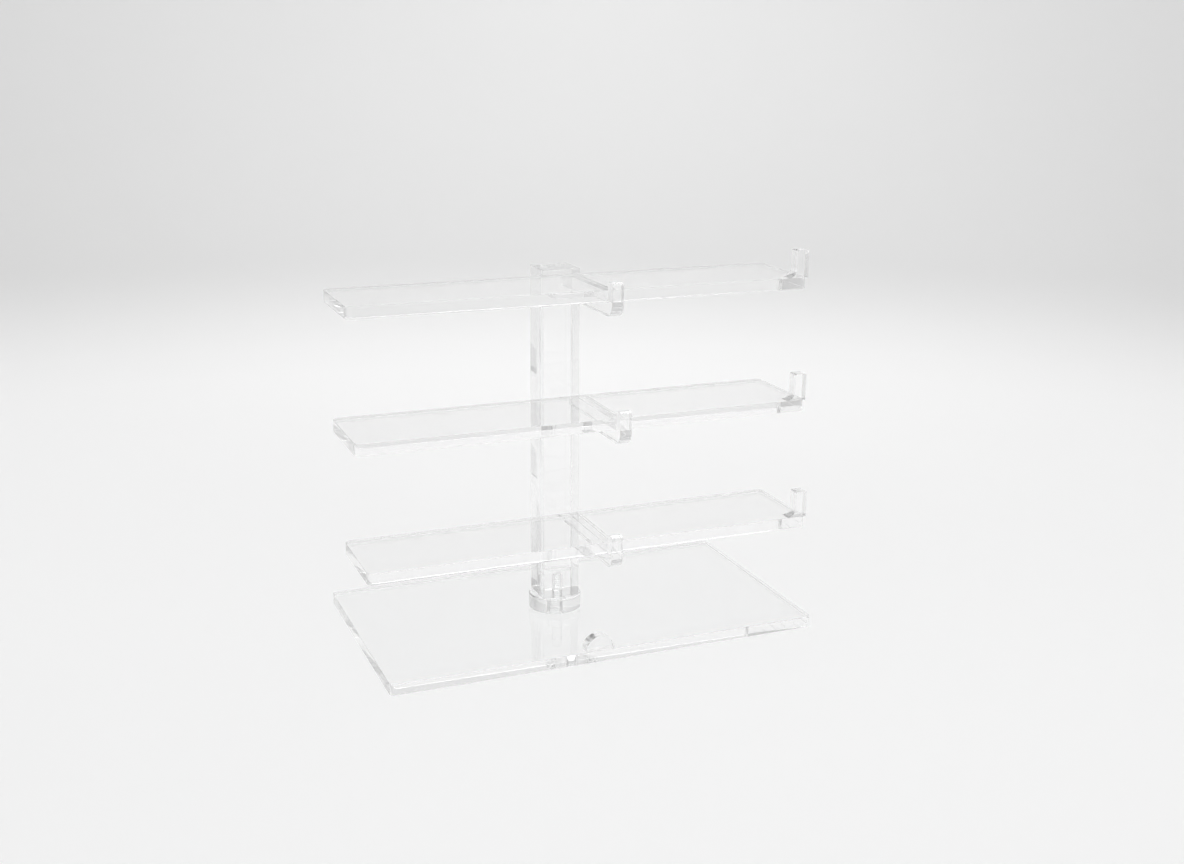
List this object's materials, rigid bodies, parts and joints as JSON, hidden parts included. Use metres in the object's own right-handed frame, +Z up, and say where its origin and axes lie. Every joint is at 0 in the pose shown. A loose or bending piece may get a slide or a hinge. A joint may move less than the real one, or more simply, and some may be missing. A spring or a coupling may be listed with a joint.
{
  "type": "eyeglass display rack",
  "caption": "Clear acrylic counter rack for eyeglasses: shelves with nose arms on a square post over a flat base plate.",
  "frame": {"origin": "middle of the base plate's underside, on the table", "axes": "+X to the right along the shelves, +Y to the back, +Z up"},
  "size_m": [0.1762, 0.0979, 0.146],
  "materials": {
    "plate_acrylic": "polished clear acrylic sheet",
    "post_acrylic": "polished clear acrylic bar",
    "shelf_acrylic": "polished clear acrylic sheet",
    "trim_acrylic": "polished clear acrylic",
    "screw_clear": "clear moulded plastic"
  },
  "bodies": {
    "base": {"base_plate": "plate_acrylic", "base_nose_rest": "trim_acrylic", "foot_collar": "trim_acrylic"},
    "display": {"post": "post_acrylic", "foot_screw": "screw_clear", "shelf_low": "shelf_acrylic", "nose_arm_low": "trim_acrylic", "end_stop_low": "trim_acrylic", "shelf_middle": "shelf_acrylic", "nose_arm_middle": "trim_acrylic", "end_stop_middle": "trim_acrylic", "shelf_top": "shelf_acrylic", "nose_arm_top": "trim_acrylic", "end_stop_top": "trim_acrylic"}
  },
  "joints": [
    {"name": "display_turn", "type": "hinge", "parent": "base", "child": "display", "pos_m": [-0.0046, 0.002, 0.0097], "axis": [0, 0, 1], "continuous": true}
  ]
}
